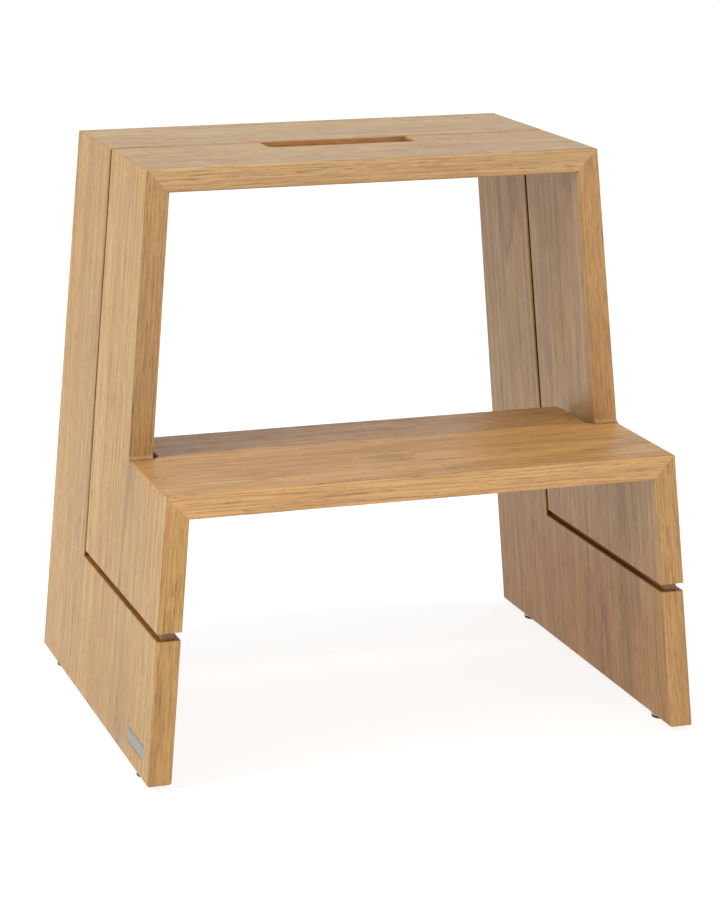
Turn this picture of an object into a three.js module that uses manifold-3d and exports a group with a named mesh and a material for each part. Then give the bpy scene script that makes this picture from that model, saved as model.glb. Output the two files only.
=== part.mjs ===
// Two-step stool of solid oak boards, in millimetres, +Z up, standing on the plane z = 0.
// Two mitred frames stand one behind the other: the rear frame carries the rear half of the top tread and
// the full-depth feet, the front frame carries the front half of the top tread and the step. A shadow gap
// runs between them, over the top tread and down both sides, and loose tongues in the gap join them.

import * as THREE from 'three';
import * as BufferGeometryUtils from 'three/addons/utils/BufferGeometryUtils.js';
import Module from 'manifold-3d';

// Driving dimensions
const HEIGHT = 450;                 // floor to the top tread
const GLIDE_HEIGHT = 4;             // floor to the underside of the side panels
const BOARD = 19;                   // thickness of every board
const SPLAY = THREE.MathUtils.degToRad(5);        // side panels lean in towards the top
const EDGE_LEAN = THREE.MathUtils.degToRad(1.5);  // front and rear edges lean in towards the top
const TOP_WIDTH = 368;
const TOP_DEPTH = 230;
const STEP_HEIGHT = 226.5;          // floor to the step's upper face
const STEP_REACH = 350;             // rear top edge to the step's upper front edge
const STEP_DEPTH = 181;
const STEP_SIDE_GAP = 5;            // step's rear part to the side panels
const STEP_CORNER = 5;              // corner radius at the step's rear
const STEP_NOTCH_RADIUS = 8;        // concave corner where the rear part meets the full width
const UPRIGHT_FILLET = 3.5;         // concave corner between upright and step level
const SHADOW_GAP = 6;
const GROOVE_HEIGHT = 119.5;        // floor to the middle of the horizontal shadow gap
const SLOT_LENGTH = 122;
const SLOT_NOTCH = 28;              // how far the hand slot reaches into the front top board
const SLOT_CORNER = 6;
const TONGUE_SETBACK = 5;           // board faces to the tongue
const TONGUE_FRONT_SETBACK = 3.5;   // front edge to the tongue's end
const TONGUE_BITE = 8;              // how far a tongue enters a board
const TONGUE_TO_SLOT = 6;           // wood left between a tongue and the hand slot
const SPLINE_THICKNESS = 4;
const SPLINE_WIDTH = 14;
const SPLINE_DEPTH = 11.5;          // outer faces to the spline's middle
const SPLINE_MARGIN = 12;           // board edge to the spline's end
const GLIDE_RADIUS = 8;
const FRONT_GLIDE_INSET = 39;
const REAR_GLIDE_INSET = 50;
const PLATE_LENGTH = 50;
const PLATE_WIDTH = 12;
const PLATE_THICKNESS = 0.8;
const PLATE_CORNER = 3;
const PLATE_PAD_THICKNESS = 0.4;
const PLATE_PAD_CORNER = 1;
const PLATE_HEIGHT = 24.5;          // floor to the plate's middle
const PLATE_INSET = 43;             // foot's front edge to the plate's middle
const FIT = 0.3;                    // gap between pieces that touch
const MITRE_SETBACK = 0.2;          // each side of a mitre, for the same gap across it

// Worked-out lines. The y of the rear top edge is 0, and the front is negative; the group centres it all.
const outerX = (z) => TOP_WIDTH / 2 + (HEIGHT - z) * Math.tan(SPLAY);
const xAtDepth = (z, depth) => outerX(z) - depth / Math.cos(SPLAY);
const rearY = (z) => (HEIGHT - z) * Math.tan(EDGE_LEAN);
const uprightFrontY = (z) => -TOP_DEPTH - (HEIGHT - z) * Math.tan(EDGE_LEAN);
const lowerFrontY = (z) => -STEP_REACH - (STEP_HEIGHT - z) * Math.tan(EDGE_LEAN);
const GAP_REAR_Y = -(TOP_DEPTH - SHADOW_GAP) / 2;
const GAP_FRONT_Y = GAP_REAR_Y - SHADOW_GAP;
const FOOT_TOP = GROOVE_HEIGHT - SHADOW_GAP / 2;
const FRONT_PANEL_BOTTOM = GROOVE_HEIGHT + SHADOW_GAP / 2;
const STEP_REAR_Y = -STEP_REACH + STEP_DEPTH;
const MITRE_START_Y = uprightFrontY(STEP_HEIGHT) - UPRIGHT_FILLET;
const DEPTH_CENTRE = (rearY(GLIDE_HEIGHT) + lowerFrontY(GLIDE_HEIGHT)) / 2;
const BEYOND = 40;                  // how far a cutting or crossing prism runs past the stool
const FRONT_LIMIT = lowerFrontY(0) - BEYOND;
const REAR_LIMIT = rearY(0) + BEYOND;

const wasm = await Module();
wasm.setup();

// Geometry to solid and back
function solid(geometry) {
  const bare = geometry.clone();
  bare.deleteAttribute('normal');
  bare.deleteAttribute('uv');
  const merged = BufferGeometryUtils.mergeVertices(bare, 1e-5);
  const mesh = new wasm.Mesh({
    numProp: 3,
    vertProperties: new Float32Array(merged.attributes.position.array),
    triVerts: new Uint32Array(merged.index.array),
  });
  return new wasm.Manifold(mesh);
}

function geometryOf(manifold) {
  const mesh = manifold.getMesh();
  const geometry = new THREE.BufferGeometry();
  geometry.setAttribute('position', new THREE.BufferAttribute(new Float32Array(mesh.vertProperties), 3));
  geometry.setIndex(new THREE.BufferAttribute(new Uint32Array(mesh.triVerts), 1));
  geometry.computeVertexNormals();
  return geometry;
}

// Prisms: an outline in one plane, run along the third axis from one value to the other
function prism(outline, from, to) {
  const points = outline.map(([a, b]) => new THREE.Vector2(a, b));
  const shape = outline instanceof THREE.Shape ? outline : new THREE.Shape(points);
  const geometry = new THREE.ExtrudeGeometry(shape, { depth: to - from, bevelEnabled: false });
  return geometry.translate(0, 0, from);
}

const X_AXIS = new THREE.Vector3(1, 0, 0);
const Y_AXIS = new THREE.Vector3(0, 1, 0);
const Z_AXIS = new THREE.Vector3(0, 0, 1);
const TO_ALONG_X = new THREE.Matrix4().makeBasis(Y_AXIS, Z_AXIS, X_AXIS);
const TO_ALONG_Y = new THREE.Matrix4().makeBasis(X_AXIS, Z_AXIS, Y_AXIS.clone().negate());

function prismAlongX(outlineYZ, from, to) {
  return solid(prism(outlineYZ, from, to).applyMatrix4(TO_ALONG_X));
}

function prismAlongY(outlineXZ, from, to) {
  return solid(prism(outlineXZ, -to, -from).applyMatrix4(TO_ALONG_Y));
}

function prismAlongZ(outlineXY, from, to) {
  return solid(prism(outlineXY, from, to));
}

// Points of an arc about a centre, from one angle to another in degrees
function arc(centreA, centreB, radius, fromDegrees, toDegrees, steps = 6) {
  const points = [];
  for (let i = 0; i <= steps; i += 1) {
    const angle = THREE.MathUtils.degToRad(fromDegrees + ((toDegrees - fromDegrees) * i) / steps);
    points.push([centreA + radius * Math.cos(angle), centreB + radius * Math.sin(angle)]);
  }
  return points;
}

// A rectangle with four round corners, about a centre
function roundedRectangle(centreA, centreB, length, width, radius) {
  const a = length / 2 - radius;
  const b = width / 2 - radius;
  return [
    ...arc(centreA + a, centreB + b, radius, 0, 90),
    ...arc(centreA - a, centreB + b, radius, 90, 180),
    ...arc(centreA - a, centreB - b, radius, 180, 270),
    ...arc(centreA + a, centreB - b, radius, 270, 360),
  ];
}

// Sections across the stool. A mitre line joins the points that lie equally deep under both outer faces.
const mirrored = (outline, side) => outline.map(([x, z]) => [x * side, z]);

function mitrePoint(level, depth) {
  return [xAtDepth(level - depth, depth), level - depth];
}

// A board or tongue of a side panel, between two depths under the outer face, mitred at a level
function sideSection(level, bottom, shallow, deep, side) {
  const [x0, z0] = mitrePoint(level, shallow);
  const [x1, z1] = mitrePoint(level, deep);
  const lower = MITRE_SETBACK * Math.tan(SPLAY);
  return mirrored([
    [x0 + lower, z0 - MITRE_SETBACK],
    [x1 + lower, z1 - MITRE_SETBACK],
    [xAtDepth(bottom, deep), bottom],
    [xAtDepth(bottom, shallow), bottom],
  ], side);
}

// A board or tongue of a tread, between two depths under its upper face, mitred at both ends
function treadSection(level, shallow, deep) {
  const [x0, z0] = mitrePoint(level, shallow);
  const [x1, z1] = mitrePoint(level, deep);
  return [
    [x0 - MITRE_SETBACK, z0],
    [x1 - MITRE_SETBACK, z1],
    [-x1 + MITRE_SETBACK, z1],
    [-x0 + MITRE_SETBACK, z0],
  ];
}

// A spline across the mitre line
function splineSection(level, grow, side) {
  const outer = new THREE.Vector2(...mitrePoint(level, 0));
  const inner = new THREE.Vector2(...mitrePoint(level, BOARD));
  const along = outer.clone().sub(inner).normalize();
  const across = new THREE.Vector2(-along.y, along.x);
  const centre = new THREE.Vector2(...mitrePoint(level, SPLINE_DEPTH));
  const halfWidth = SPLINE_WIDTH / 2 + grow;
  const halfThickness = SPLINE_THICKNESS / 2 + grow;
  const corner = (a, b) => centre.clone().addScaledVector(across, a).addScaledVector(along, b).toArray();
  return mirrored([
    corner(-halfWidth, -halfThickness),
    corner(halfWidth, -halfThickness),
    corner(halfWidth, halfThickness),
    corner(-halfWidth, halfThickness),
  ], side);
}

function spline(level, front, rear, grow, side) {
  const section = splineSection(level, grow, side);
  return prismAlongY(section, front + SPLINE_MARGIN - grow, rear - SPLINE_MARGIN + grow);
}

const rearTopSpline = (grow, side) => spline(HEIGHT, GAP_REAR_Y, 0, grow, side);
const frontTopSpline = (grow, side) => spline(HEIGHT, -TOP_DEPTH, GAP_FRONT_Y, grow, side);
const stepSpline = (grow, side) => spline(STEP_HEIGHT, -STEP_REACH, MITRE_START_Y, grow, side);

// Tongues: the band of each that lies in the gap, and TONGUE_BITE into the boards on both sides.
// grow widens it for the grooves that are cut for it.
const TONGUE_FRONT_Y = GAP_FRONT_Y - TONGUE_BITE;
const TONGUE_REAR_Y = GAP_REAR_Y + TONGUE_BITE;
const TONGUE_LOW = FOOT_TOP - TONGUE_BITE;
const TONGUE_HIGH = FRONT_PANEL_BOTTOM + TONGUE_BITE;
const TONGUE_DEPTHS = [TONGUE_SETBACK, BOARD - TONGUE_SETBACK];

function topTongue(grow, side) {
  const [shallow, deep] = TONGUE_DEPTHS;
  const section = treadSection(HEIGHT, shallow - grow, deep + grow);
  const inner = SLOT_LENGTH / 2 + TONGUE_TO_SLOT - grow;
  const half = prismAlongX(
    [
      [TONGUE_FRONT_Y - grow, HEIGHT - BOARD],
      [TONGUE_REAR_Y + grow, HEIGHT - BOARD],
      [TONGUE_REAR_Y + grow, HEIGHT],
      [TONGUE_FRONT_Y - grow, HEIGHT],
    ],
    side > 0 ? inner : -TOP_WIDTH,
    side > 0 ? TOP_WIDTH : -inner,
  );
  return prismAlongY(section, FRONT_LIMIT, REAR_LIMIT).intersect(half);
}

function sideBand(grow, side) {
  const [shallow, deep] = TONGUE_DEPTHS;
  const section = sideSection(HEIGHT, GLIDE_HEIGHT, shallow - grow, deep + grow, side);
  return prismAlongY(section, FRONT_LIMIT, REAR_LIMIT);
}

function uprightTongue(grow, side) {
  const outline = [
    [TONGUE_FRONT_Y - grow, TONGUE_HIGH + FIT - grow],
    [TONGUE_REAR_Y + grow, TONGUE_HIGH + FIT - grow],
    [TONGUE_REAR_Y + grow, HEIGHT],
    [TONGUE_FRONT_Y - grow, HEIGHT],
  ];
  return sideBand(grow, side).intersect(prismAlongX(outline, -TOP_WIDTH, TOP_WIDTH));
}

function footTongue(grow, side) {
  const outline = [
    [lowerFrontY(TONGUE_LOW) + TONGUE_FRONT_SETBACK - grow, TONGUE_LOW - grow],
    [TONGUE_REAR_Y + grow, TONGUE_LOW - grow],
    [TONGUE_REAR_Y + grow, TONGUE_HIGH + grow],
    [lowerFrontY(TONGUE_HIGH) + TONGUE_FRONT_SETBACK - grow, TONGUE_HIGH + grow],
  ];
  return sideBand(grow, side).intersect(prismAlongX(outline, -TOP_WIDTH, TOP_WIDTH));
}

function withoutAll(body, cutters) {
  return cutters.reduce((rest, cutter) => rest.subtract(cutter), body);
}

// Top tread
function topRearBoard() {
  const outline = [
    [GAP_REAR_Y, HEIGHT - BOARD],
    [rearY(HEIGHT - BOARD), HEIGHT - BOARD],
    [rearY(HEIGHT), HEIGHT],
    [GAP_REAR_Y, HEIGHT],
  ];
  const board = prismAlongY(treadSection(HEIGHT, 0, BOARD), FRONT_LIMIT, REAR_LIMIT)
    .intersect(prismAlongX(outline, -TOP_WIDTH, TOP_WIDTH));
  return withoutAll(board, [
    topTongue(FIT, 1), topTongue(FIT, -1), rearTopSpline(FIT, 1), rearTopSpline(FIT, -1),
  ]);
}

function handSlot() {
  const half = SLOT_LENGTH / 2;
  const bottom = GAP_FRONT_Y - SLOT_NOTCH;
  const outline = [
    [half, GAP_REAR_Y],
    [-half, GAP_REAR_Y],
    ...arc(-half + SLOT_CORNER, bottom + SLOT_CORNER, SLOT_CORNER, 180, 270),
    ...arc(half - SLOT_CORNER, bottom + SLOT_CORNER, SLOT_CORNER, 270, 360),
  ];
  return prismAlongZ(outline, HEIGHT - 2 * BOARD, HEIGHT + BOARD);
}

function topFrontBoard() {
  const outline = [
    [uprightFrontY(HEIGHT - BOARD), HEIGHT - BOARD],
    [GAP_FRONT_Y, HEIGHT - BOARD],
    [GAP_FRONT_Y, HEIGHT],
    [uprightFrontY(HEIGHT), HEIGHT],
  ];
  const board = prismAlongY(treadSection(HEIGHT, 0, BOARD), FRONT_LIMIT, REAR_LIMIT)
    .intersect(prismAlongX(outline, -TOP_WIDTH, TOP_WIDTH));
  return withoutAll(board, [
    handSlot(), topTongue(FIT, 1), topTongue(FIT, -1), frontTopSpline(FIT, 1), frontTopSpline(FIT, -1),
  ]);
}

// Side panels
function glidePlaces(side) {
  const x = (outerX(GLIDE_HEIGHT) + xAtDepth(GLIDE_HEIGHT, BOARD)) / 2;
  return {
    front: [x * side, lowerFrontY(GLIDE_HEIGHT) + FRONT_GLIDE_INSET],
    rear: [x * side, rearY(GLIDE_HEIGHT) - REAR_GLIDE_INSET],
  };
}

const NAIL_RADIUS = 1.1;
const NAIL_TOP = 22;
const NAIL_POINT = 3;
const NAIL_CLEARANCE = 0.4;
const NAIL_HOLE_RADIUS = NAIL_RADIUS + NAIL_CLEARANCE;
const NAIL_HOLE_STEPS = 16;

function nailHole([x, y]) {
  const height = NAIL_TOP + FIT;
  const hole = new THREE.CylinderGeometry(NAIL_HOLE_RADIUS, NAIL_HOLE_RADIUS, height, NAIL_HOLE_STEPS);
  hole.rotateX(Math.PI / 2).translate(x, y, height / 2);
  return solid(hole);
}

function rearPanel(side) {
  const outline = [
    [rearY(GLIDE_HEIGHT), GLIDE_HEIGHT],
    [rearY(HEIGHT), HEIGHT],
    [GAP_REAR_Y, HEIGHT],
    [GAP_REAR_Y, FOOT_TOP],
    [lowerFrontY(FOOT_TOP), FOOT_TOP],
    [lowerFrontY(GLIDE_HEIGHT), GLIDE_HEIGHT],
  ];
  const slab = prismAlongY(sideSection(HEIGHT, GLIDE_HEIGHT, 0, BOARD, side), FRONT_LIMIT, REAR_LIMIT);
  const panel = slab.intersect(prismAlongX(outline, -TOP_WIDTH, TOP_WIDTH));
  return withoutAll(panel, [
    uprightTongue(FIT, side), footTongue(FIT, side), rearTopSpline(FIT, side),
    ...Object.values(glidePlaces(side)).map(nailHole),
  ]);
}

function frontPanel(side) {
  const uprightOutline = [
    [GAP_FRONT_Y, FRONT_PANEL_BOTTOM],
    [GAP_FRONT_Y, HEIGHT],
    [uprightFrontY(HEIGHT), HEIGHT],
    ...arc(MITRE_START_Y, STEP_HEIGHT + UPRIGHT_FILLET, UPRIGHT_FILLET, 0, -90),
    [MITRE_START_Y, FRONT_PANEL_BOTTOM],
  ];
  const lowerOutline = [
    [GAP_FRONT_Y - BOARD, FRONT_PANEL_BOTTOM],
    [GAP_FRONT_Y - BOARD, STEP_HEIGHT],
    [lowerFrontY(STEP_HEIGHT), STEP_HEIGHT],
    [lowerFrontY(FRONT_PANEL_BOTTOM), FRONT_PANEL_BOTTOM],
  ];
  const upper = prismAlongY(sideSection(HEIGHT, GLIDE_HEIGHT, 0, BOARD, side), FRONT_LIMIT, REAR_LIMIT)
    .intersect(prismAlongX(uprightOutline, -TOP_WIDTH, TOP_WIDTH));
  const lower = prismAlongY(sideSection(STEP_HEIGHT, GLIDE_HEIGHT, 0, BOARD, side), FRONT_LIMIT, REAR_LIMIT)
    .intersect(prismAlongX(lowerOutline, -TOP_WIDTH, TOP_WIDTH));
  return withoutAll(upper.add(lower), [
    uprightTongue(FIT, side), footTongue(FIT, side), frontTopSpline(FIT, side), stepSpline(FIT, side),
  ]);
}

// Step: mitred at full width in front of the uprights, narrower where it passes between them
function stepPlan() {
  const inside = xAtDepth(STEP_HEIGHT, BOARD) - FIT;
  const half = xAtDepth(STEP_HEIGHT, BOARD) - STEP_SIDE_GAP;
  const notchX = half + STEP_NOTCH_RADIUS;
  const reach = THREE.MathUtils.radToDeg(Math.acos((notchX - inside) / STEP_NOTCH_RADIUS));
  const notchY = MITRE_START_Y + UPRIGHT_FILLET + STEP_NOTCH_RADIUS * Math.sin((reach * Math.PI) / 180);
  const rightSide = [
    [inside, lowerFrontY(0)],
    ...arc(notchX, notchY, STEP_NOTCH_RADIUS, 180 + reach, 180),
    ...arc(half - STEP_CORNER, STEP_REAR_Y - STEP_CORNER, STEP_CORNER, 0, 90),
  ];
  const leftSide = rightSide.map(([x, y]) => [-x, y]).reverse();
  return [...rightSide, ...leftSide];
}

function stepBoard() {
  const low = STEP_HEIGHT - BOARD;
  const outline = [
    [lowerFrontY(low), low],
    [STEP_REAR_Y, low],
    [STEP_REAR_Y, STEP_HEIGHT],
    [lowerFrontY(STEP_HEIGHT), STEP_HEIGHT],
  ];
  const fullWidth = prismAlongY(treadSection(STEP_HEIGHT, 0, BOARD), FRONT_LIMIT, MITRE_START_Y - FIT);
  const plan = prismAlongZ(stepPlan(), low, STEP_HEIGHT);
  const board = fullWidth.add(plan).intersect(prismAlongX(outline, -TOP_WIDTH, TOP_WIDTH));
  return withoutAll(board, [stepSpline(FIT, 1), stepSpline(FIT, -1)]);
}

// Maker's plate, let in flush on the left foot's outer face. It is drawn in a plane and turned with the face.
function onLeftFace(geometry, depth) {
  const y = lowerFrontY(PLATE_HEIGHT) + PLATE_INSET;
  const turn = new THREE.Matrix4().makeBasis(
    new THREE.Vector3(0, -1, 0),
    new THREE.Vector3(Math.sin(SPLAY), 0, Math.cos(SPLAY)),
    new THREE.Vector3(-Math.cos(SPLAY), 0, Math.sin(SPLAY)),
  );
  geometry.translate(0, 0, -depth).applyMatrix4(turn);
  return geometry.translate(-outerX(PLATE_HEIGHT), y, PLATE_HEIGHT);
}

const RECESS_DEPTH = PLATE_THICKNESS + PLATE_PAD_THICKNESS + 2 * FIT;

function plateRecess() {
  const outline = roundedRectangle(0, 0, PLATE_LENGTH + 2 * FIT, PLATE_WIDTH + 2 * FIT, PLATE_CORNER + FIT);
  return solid(onLeftFace(prism(outline, 0, 2 * RECESS_DEPTH), RECESS_DEPTH));
}

function makerPlate() {
  const outline = roundedRectangle(0, 0, PLATE_LENGTH, PLATE_WIDTH, PLATE_CORNER);
  return onLeftFace(prism(outline, 0, PLATE_THICKNESS), PLATE_THICKNESS);
}

function platePad() {
  const outline = roundedRectangle(0, 0, PLATE_LENGTH - PLATE_CORNER, PLATE_WIDTH - PLATE_CORNER, PLATE_PAD_CORNER);
  return onLeftFace(prism(outline, 0, PLATE_PAD_THICKNESS), RECESS_DEPTH - FIT);
}

// Glides: a plastic base on the floor, a steel disc above it, and a nail up through both into the panel
const BASE_TOP = 2;
const BASE_CHAMFER = 0.8;
const DISC_CHAMFER = 0.5;
const HEAD_RADIUS = 3;
const HEAD_BOTTOM = 1.1;
const HEAD_TOP = 2;
const ROUND_STEPS = 28;

function lathe(profile) {
  const points = profile.map(([r, z]) => new THREE.Vector2(r, z));
  return new THREE.LatheGeometry(points, ROUND_STEPS).rotateX(Math.PI / 2);
}

function glideBase() {
  const seat = HEAD_RADIUS + FIT;
  return lathe([
    [0, 0], [GLIDE_RADIUS - BASE_CHAMFER, 0], [GLIDE_RADIUS, BASE_CHAMFER], [GLIDE_RADIUS, BASE_TOP],
    [seat, BASE_TOP], [seat, HEAD_BOTTOM - FIT], [0, HEAD_BOTTOM - FIT],
  ]);
}

function glideDisc() {
  const low = BASE_TOP + FIT;
  const high = GLIDE_HEIGHT - FIT;
  return lathe([
    [NAIL_HOLE_RADIUS, low], [GLIDE_RADIUS, low], [GLIDE_RADIUS, high - DISC_CHAMFER],
    [GLIDE_RADIUS - DISC_CHAMFER, high], [NAIL_HOLE_RADIUS, high], [NAIL_HOLE_RADIUS, low],
  ]);
}

function glideNail() {
  return lathe([
    [0, HEAD_BOTTOM], [HEAD_RADIUS, HEAD_BOTTOM], [HEAD_RADIUS, HEAD_TOP], [NAIL_RADIUS, HEAD_TOP],
    [NAIL_RADIUS, NAIL_TOP - NAIL_POINT], [0, NAIL_TOP],
  ]);
}

// Finishes
const oak = (color) => () => new THREE.MeshStandardMaterial({ color, roughness: 0.55, metalness: 0 });
const treadOak = oak(0xc9a57a);
const sideOak = oak(0xcdab80);
const stepOak = oak(0xc49a66);
const tongueOak = oak(0xa9814f);
const splineBeech = oak(0xd8bd96);
const blackPlastic = () => new THREE.MeshStandardMaterial({ color: 0x1b1b1c, roughness: 0.5, metalness: 0 });
const padFoam = () => new THREE.MeshStandardMaterial({ color: 0x9a9a96, roughness: 0.9, metalness: 0 });
const steel = () => new THREE.MeshStandardMaterial({ color: 0xb4b3ae, roughness: 0.35, metalness: 0.9 });

// Assembly
const stool = new THREE.Group();
stool.position.y = -DEPTH_CENTRE;

function place(name, geometry, material, position = [0, 0, 0]) {
  const mesh = new THREE.Mesh(geometry, material());
  mesh.name = name;
  mesh.position.set(...position);
  stool.add(mesh);
}

place('top_rear_board', geometryOf(topRearBoard()), treadOak);
place('top_front_board', geometryOf(topFrontBoard()), treadOak);
place('step_board', geometryOf(stepBoard()), stepOak);

for (const [word, side] of [['left', -1], ['right', 1]]) {
  const rear = side < 0 ? rearPanel(side).subtract(plateRecess()) : rearPanel(side);
  place(`${word}_rear_panel`, geometryOf(rear), sideOak);
  place(`${word}_front_panel`, geometryOf(frontPanel(side)), sideOak);
  place(`top_tongue_${word}`, geometryOf(topTongue(0, side)), tongueOak);
  place(`${word}_upright_tongue`, geometryOf(uprightTongue(0, side)), tongueOak);
  place(`${word}_foot_tongue`, geometryOf(footTongue(0, side)), tongueOak);
  place(`top_rear_spline_${word}`, geometryOf(rearTopSpline(0, side)), splineBeech);
  place(`top_front_spline_${word}`, geometryOf(frontTopSpline(0, side)), splineBeech);
  place(`step_spline_${word}`, geometryOf(stepSpline(0, side)), splineBeech);
  for (const [end, [x, y]] of Object.entries(glidePlaces(side))) {
    place(`${word}_${end}_glide_base`, glideBase(), blackPlastic, [x, y, 0]);
    place(`${word}_${end}_glide_disc`, glideDisc(), steel, [x, y, 0]);
    place(`${word}_${end}_glide_nail`, glideNail(), steel, [x, y, 0]);
  }
}

place('maker_plate', makerPlate(), steel);
place('plate_pad', platePad(), padFoam);

export default stool;
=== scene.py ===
"""Oak two-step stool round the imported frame: finer pieces, procedural materials, light and camera."""

import math
import random

import bmesh
import bpy
from mathutils import Euler, Matrix, Vector


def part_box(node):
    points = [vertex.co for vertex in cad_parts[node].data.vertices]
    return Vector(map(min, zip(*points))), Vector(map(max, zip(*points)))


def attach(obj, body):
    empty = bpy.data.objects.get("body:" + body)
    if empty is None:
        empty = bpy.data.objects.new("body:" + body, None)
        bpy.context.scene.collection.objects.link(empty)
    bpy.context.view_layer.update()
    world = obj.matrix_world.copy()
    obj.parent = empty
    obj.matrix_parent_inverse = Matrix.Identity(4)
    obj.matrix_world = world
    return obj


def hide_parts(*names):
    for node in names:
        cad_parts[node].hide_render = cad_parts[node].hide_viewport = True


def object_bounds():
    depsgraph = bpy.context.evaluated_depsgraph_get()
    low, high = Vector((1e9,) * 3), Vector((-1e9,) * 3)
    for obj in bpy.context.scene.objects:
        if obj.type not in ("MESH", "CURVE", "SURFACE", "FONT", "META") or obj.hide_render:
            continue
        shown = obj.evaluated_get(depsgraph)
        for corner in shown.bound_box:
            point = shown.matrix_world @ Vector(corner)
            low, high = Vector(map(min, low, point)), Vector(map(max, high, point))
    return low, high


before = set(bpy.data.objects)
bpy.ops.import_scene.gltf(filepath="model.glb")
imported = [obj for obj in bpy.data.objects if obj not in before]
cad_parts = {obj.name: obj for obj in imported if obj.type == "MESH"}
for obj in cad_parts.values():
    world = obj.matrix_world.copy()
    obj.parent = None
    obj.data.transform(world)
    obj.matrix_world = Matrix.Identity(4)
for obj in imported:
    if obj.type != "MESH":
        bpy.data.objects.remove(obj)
CAD_LOW, CAD_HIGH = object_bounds()
MM = 0.001

# ---------------------------------------------------------------------------------------------------------
# Places worked out from the frame
# ---------------------------------------------------------------------------------------------------------

SIDES = {"left": -1, "right": 1}
TREADS = ("top_rear_board", "top_front_board", "step_board")

top_rear_low, top_rear_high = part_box("top_rear_board")
top_front_low, top_front_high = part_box("top_front_board")
front_panel_low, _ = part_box("left_front_panel")
rear_panel_low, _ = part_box("left_rear_panel")
step_low, step_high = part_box("step_board")
plate_low, plate_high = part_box("maker_plate")

TOP_LEVEL = top_rear_high.z
STEP_LEVEL = step_high.z
BOARD = top_rear_high.z - top_rear_low.z
GAP_FRONT_Y = top_front_high.y
GAP_REAR_Y = top_rear_low.y
GAP = GAP_REAR_Y - GAP_FRONT_Y
GAP_HIGH_Z = front_panel_low.z
GAP_LOW_Z = GAP_HIGH_Z - GAP
TOP_HALF = top_rear_high.x
STEP_HALF = step_high.x
SPLAY = math.atan2(STEP_HALF - TOP_HALF, TOP_LEVEL - STEP_LEVEL)
MIDDLE = (CAD_LOW + CAD_HIGH) / 2

# ---------------------------------------------------------------------------------------------------------
# Camera
# ---------------------------------------------------------------------------------------------------------

CAMERA_AZIMUTH = math.radians(-18.33)
CAMERA_ELEVATION = math.radians(14.16)
CAMERA_ROLL = math.radians(0.06)
CAMERA_DISTANCE = 2.2992
CAMERA_LENS = 112.92
SENSOR_WIDTH = 36.0
AIM_RIGHT = 0.0050            # the point aimed at, from the middle of the stool
AIM_BELOW = 0.0220


def make_camera():
    """A camera at the photo's viewing angle, aimed near the middle of the stool."""
    data = bpy.data.cameras.new("camera")
    data.lens = CAMERA_LENS
    data.sensor_width = SENSOR_WIDTH
    data.clip_start = 0.05
    data.clip_end = 100.0
    camera = bpy.data.objects.new("camera", data)
    bpy.context.scene.collection.objects.link(camera)
    aim = MIDDLE + Vector((AIM_RIGHT, 0.0, -AIM_BELOW))
    back = Vector((
        math.sin(CAMERA_AZIMUTH) * math.cos(CAMERA_ELEVATION),
        -math.cos(CAMERA_AZIMUTH) * math.cos(CAMERA_ELEVATION),
        math.sin(CAMERA_ELEVATION),
    ))
    camera.location = aim + back * CAMERA_DISTANCE
    facing = (-back).to_track_quat("-Z", "Y")
    camera.rotation_mode = "QUATERNION"
    camera.rotation_quaternion = facing @ Euler((0.0, 0.0, CAMERA_ROLL)).to_quaternion()
    bpy.context.scene.camera = camera


# ---------------------------------------------------------------------------------------------------------
# Light, floor and surroundings
# ---------------------------------------------------------------------------------------------------------

WORLD_LIGHT = 0.58
FLOOR_HALF = 14.0
FLOOR_ALBEDO = 0.28
FLOOR_GLOW = 0.84
FLOOR_CLOUD = 0.96            # the floor's darkest tone, beside its palest
WHITE = (1.0, 1.0, 1.0)
WARM_WHITE = (1.0, 0.985, 0.96)
STRIP_Y = top_front_low.y     # the narrow strip hangs straight above the top tread's front edge

# Name, place, aim, width, height, watts, colour, whether a camera sees it
SOFTBOXES = (
    ("key", (-2.2, -0.45, 1.6), MIDDLE, 1.2, 1.2, 34.0, WARM_WHITE, True),
    ("overhead", (0.0, STRIP_Y, 2.6), (0.0, STRIP_Y, 0.0), 2.4, 0.08, 22.0, WHITE, True),
    ("fill", (1.4, -2.6, 1.0), MIDDLE, 1.5, 1.1, 11.0, WHITE, True),
    ("back", (1.15, 3.5, 1.2), MIDDLE, 3.0, 1.2, 6.0, WHITE, False),
)


def soft_light(name, place, aim, width, height, watts, colour, seen):
    """A rectangular softbox that faces a point."""
    data = bpy.data.lights.new(name, "AREA")
    data.shape = "RECTANGLE"
    data.size = width
    data.size_y = height
    data.energy = watts
    data.color = colour
    light = bpy.data.objects.new(name, data)
    bpy.context.scene.collection.objects.link(light)
    light.location = place
    light.rotation_mode = "QUATERNION"
    light.rotation_quaternion = (Vector(aim) - Vector(place)).to_track_quat("-Z", "Y")
    light.visible_camera = seen


def make_studio():
    """White surroundings and softboxes."""
    scene = bpy.context.scene
    scene.view_settings.view_transform = "Standard"
    world = bpy.data.worlds.new("studio")
    scene.world = world
    world.use_nodes = True
    background = world.node_tree.nodes["Background"]
    background.inputs["Color"].default_value = (*WHITE, 1.0)
    background.inputs["Strength"].default_value = WORLD_LIGHT
    for softbox in SOFTBOXES:
        soft_light(*softbox)


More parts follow.
